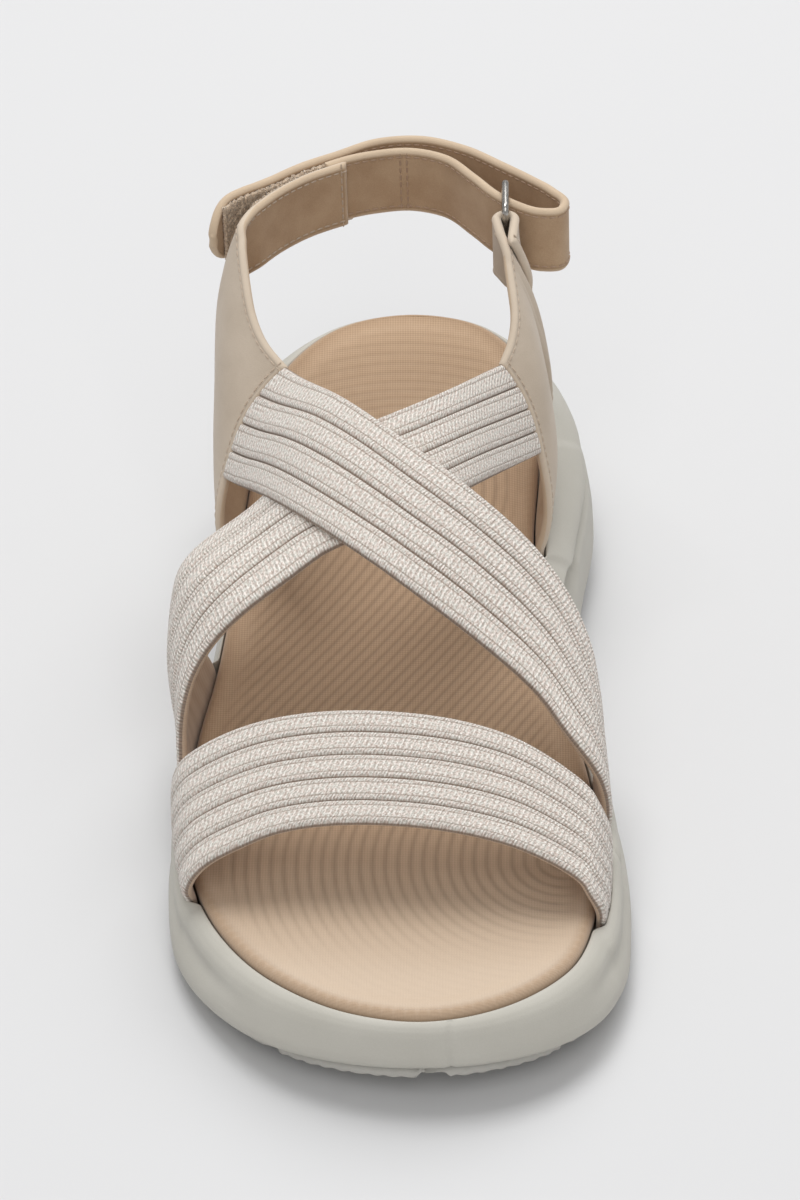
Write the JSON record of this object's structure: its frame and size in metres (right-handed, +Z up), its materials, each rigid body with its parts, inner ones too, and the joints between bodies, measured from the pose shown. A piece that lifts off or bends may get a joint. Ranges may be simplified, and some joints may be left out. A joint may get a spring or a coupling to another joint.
{
  "type": "cross strap sandal",
  "caption": "Right-foot sandal with ribbed crossing webbing straps, a wide toe strap, an open heel with a fastened hook-and-loop heel strap through a ring, and a thick foam sole.",
  "frame": {"origin": "on the floor, under the middle of the sandal's length and width", "axes": "+Y to the heel, along the sole; +X to the medial side, where the big toe is; +Z up"},
  "size_m": [0.1072, 0.2556, 0.1015],
  "materials": {
    "rubber": "matt moulded rubber",
    "foam": "matt moulded foam with a fine skin",
    "footbed": "fine woven lining over padding",
    "webbing": "melange knit over padded ribs",
    "nubuck": "fine nap with folded edges",
    "fastener": "hook and loop pile",
    "nickel": "polished nickel plate"
  },
  "bodies": {
    "root": {"outsole": "rubber", "midsole": "foam", "insole": "footbed", "front_strap": "webbing", "cross_straps": "webbing", "lateral_quarter": "nubuck", "medial_quarter": "nubuck", "heel_strap": "nubuck", "loop_pad": "fastener", "hook_pad": "fastener", "ring": "nickel"}
  },
  "joints": []
}
